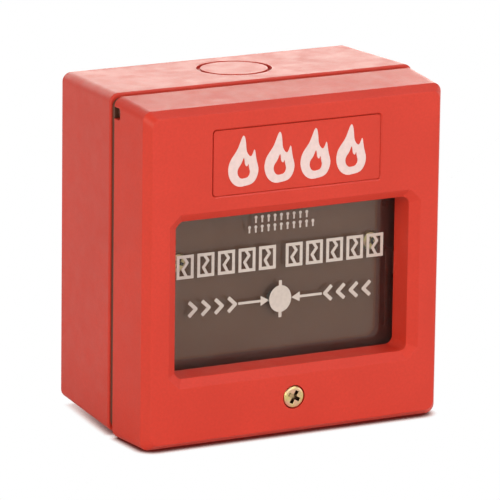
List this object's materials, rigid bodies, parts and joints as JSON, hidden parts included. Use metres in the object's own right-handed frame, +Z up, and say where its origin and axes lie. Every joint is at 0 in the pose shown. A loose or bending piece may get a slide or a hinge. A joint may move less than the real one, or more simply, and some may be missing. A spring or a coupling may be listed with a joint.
{
  "type": "manual call point",
  "caption": "Square wall-mounted break-glass fire alarm call point: box, hooked cover with printed pane, spring pin and microswitch.",
  "frame": {"origin": "centre of the flat wall face at the back of the box", "axes": "+X right seen from the front, +Y into the wall (the front faces -Y), +Z up"},
  "size_m": [0.088, 0.0513, 0.0905],
  "materials": {
    "box_red": "fine satin texture",
    "cover_red": "fine satin texture",
    "title_red": "satin",
    "symbol_white": "flat print",
    "chassis_brown": "satin moulding",
    "sheet_brown": "satin sheet",
    "pane_glass": "clear polished",
    "print_white": "screen print",
    "zinc_yellow": "yellow zinc plate",
    "brass": "machined",
    "nickel": "plated",
    "steel": "spring steel",
    "pin_white": "moulded acetal",
    "bracket_black": "satin moulding",
    "switch_black": "moulded",
    "switch_lid_grey": "moulded",
    "button_red": "moulded",
    "block_grey": "moulded",
    "wire_red": "insulation",
    "wire_black": "insulation",
    "washer_nylon": "moulded"
  },
  "bodies": {
    "back_box": {"back_box": "box_red", "chassis": "chassis_brown", "backing_plate": "sheet_brown", "plate_screws": "zinc_yellow", "screw_insert": "brass", "pin_spring": "steel", "switch_bracket": "bracket_black", "bracket_screws": "zinc_yellow", "switch_case": "switch_black", "switch_lid": "switch_lid_grey", "lever_pivot": "steel", "common_terminal": "nickel", "make_terminal": "nickel", "break_terminal": "nickel", "switch_screws": "nickel", "switch_nuts": "nickel", "terminal_block": "block_grey", "terminal_clamps": "brass", "terminal_screws": "nickel", "block_screws": "zinc_yellow", "red_wire": "wire_red", "black_wire": "wire_black"},
    "cover": {"front_cover": "cover_red", "title_plate": "title_red", "title_symbols": "symbol_white", "glass_pane": "pane_glass", "glass_print": "print_white", "pane_clips": "steel", "clip_screws": "zinc_yellow"},
    "screw_washer": {"screw_washer": "washer_nylon"},
    "cover_screw": {"cover_screw": "zinc_yellow"},
    "actuator_pin": {"actuator_pin": "pin_white"},
    "switch_lever": {"switch_lever": "steel"},
    "switch_button": {"switch_button": "button_red"},
    "contact_blade": {"contact_blade": "brass"}
  },
  "joints": [
    {"name": "cover_hinge", "type": "hinge", "parent": "back_box", "child": "cover", "pos_m": [0, -0.03395, 0.04345], "axis": [-1, 0, 0], "range_deg": [0, 40]},
    {"name": "cover_screw_back_out", "type": "slide", "parent": "cover", "child": "screw_washer", "axis": [0, -1, 0], "range_m": [0, 0.0045]},
    {"name": "cover_screw_turn", "type": "hinge", "parent": "screw_washer", "child": "cover_screw", "pos_m": [0, -0.0512, -0.0355], "axis": [0, -1, 0], "range_deg": [0, 2700]},
    {"name": "actuator_slide", "type": "slide", "parent": "back_box", "child": "actuator_pin", "axis": [0, -1, 0], "range_m": [0, 0.0025], "deforming": ["pin_spring"]},
    {"name": "lever_swing", "type": "hinge", "parent": "back_box", "child": "switch_lever", "pos_m": [0, -0.0205, -0.0216], "axis": [1, 0, 0], "range_deg": [0, 14]},
    {"name": "button_slide", "type": "slide", "parent": "back_box", "child": "switch_button", "axis": [0, -1, 0], "range_m": [0, 0.0008]},
    {"name": "blade_swing", "type": "hinge", "parent": "back_box", "child": "contact_blade", "pos_m": [0, -0.0155, -0.00475], "axis": [-1, 0, 0], "range_deg": [0, 3.3]}
  ],
  "couplings": [
    {"joint": "actuator_slide", "follows": "cover_hinge", "m_per_rad": 0.0035809},
    {"joint": "lever_swing", "follows": "cover_hinge", "ratio": 0.35},
    {"joint": "button_slide", "follows": "cover_hinge", "m_per_rad": 0.0011459},
    {"joint": "blade_swing", "follows": "cover_hinge", "ratio": 0.0825},
    {"joint": "cover_screw_turn", "follows": "cover_screw_back_out", "rad_per_m": 10472}
  ]
}
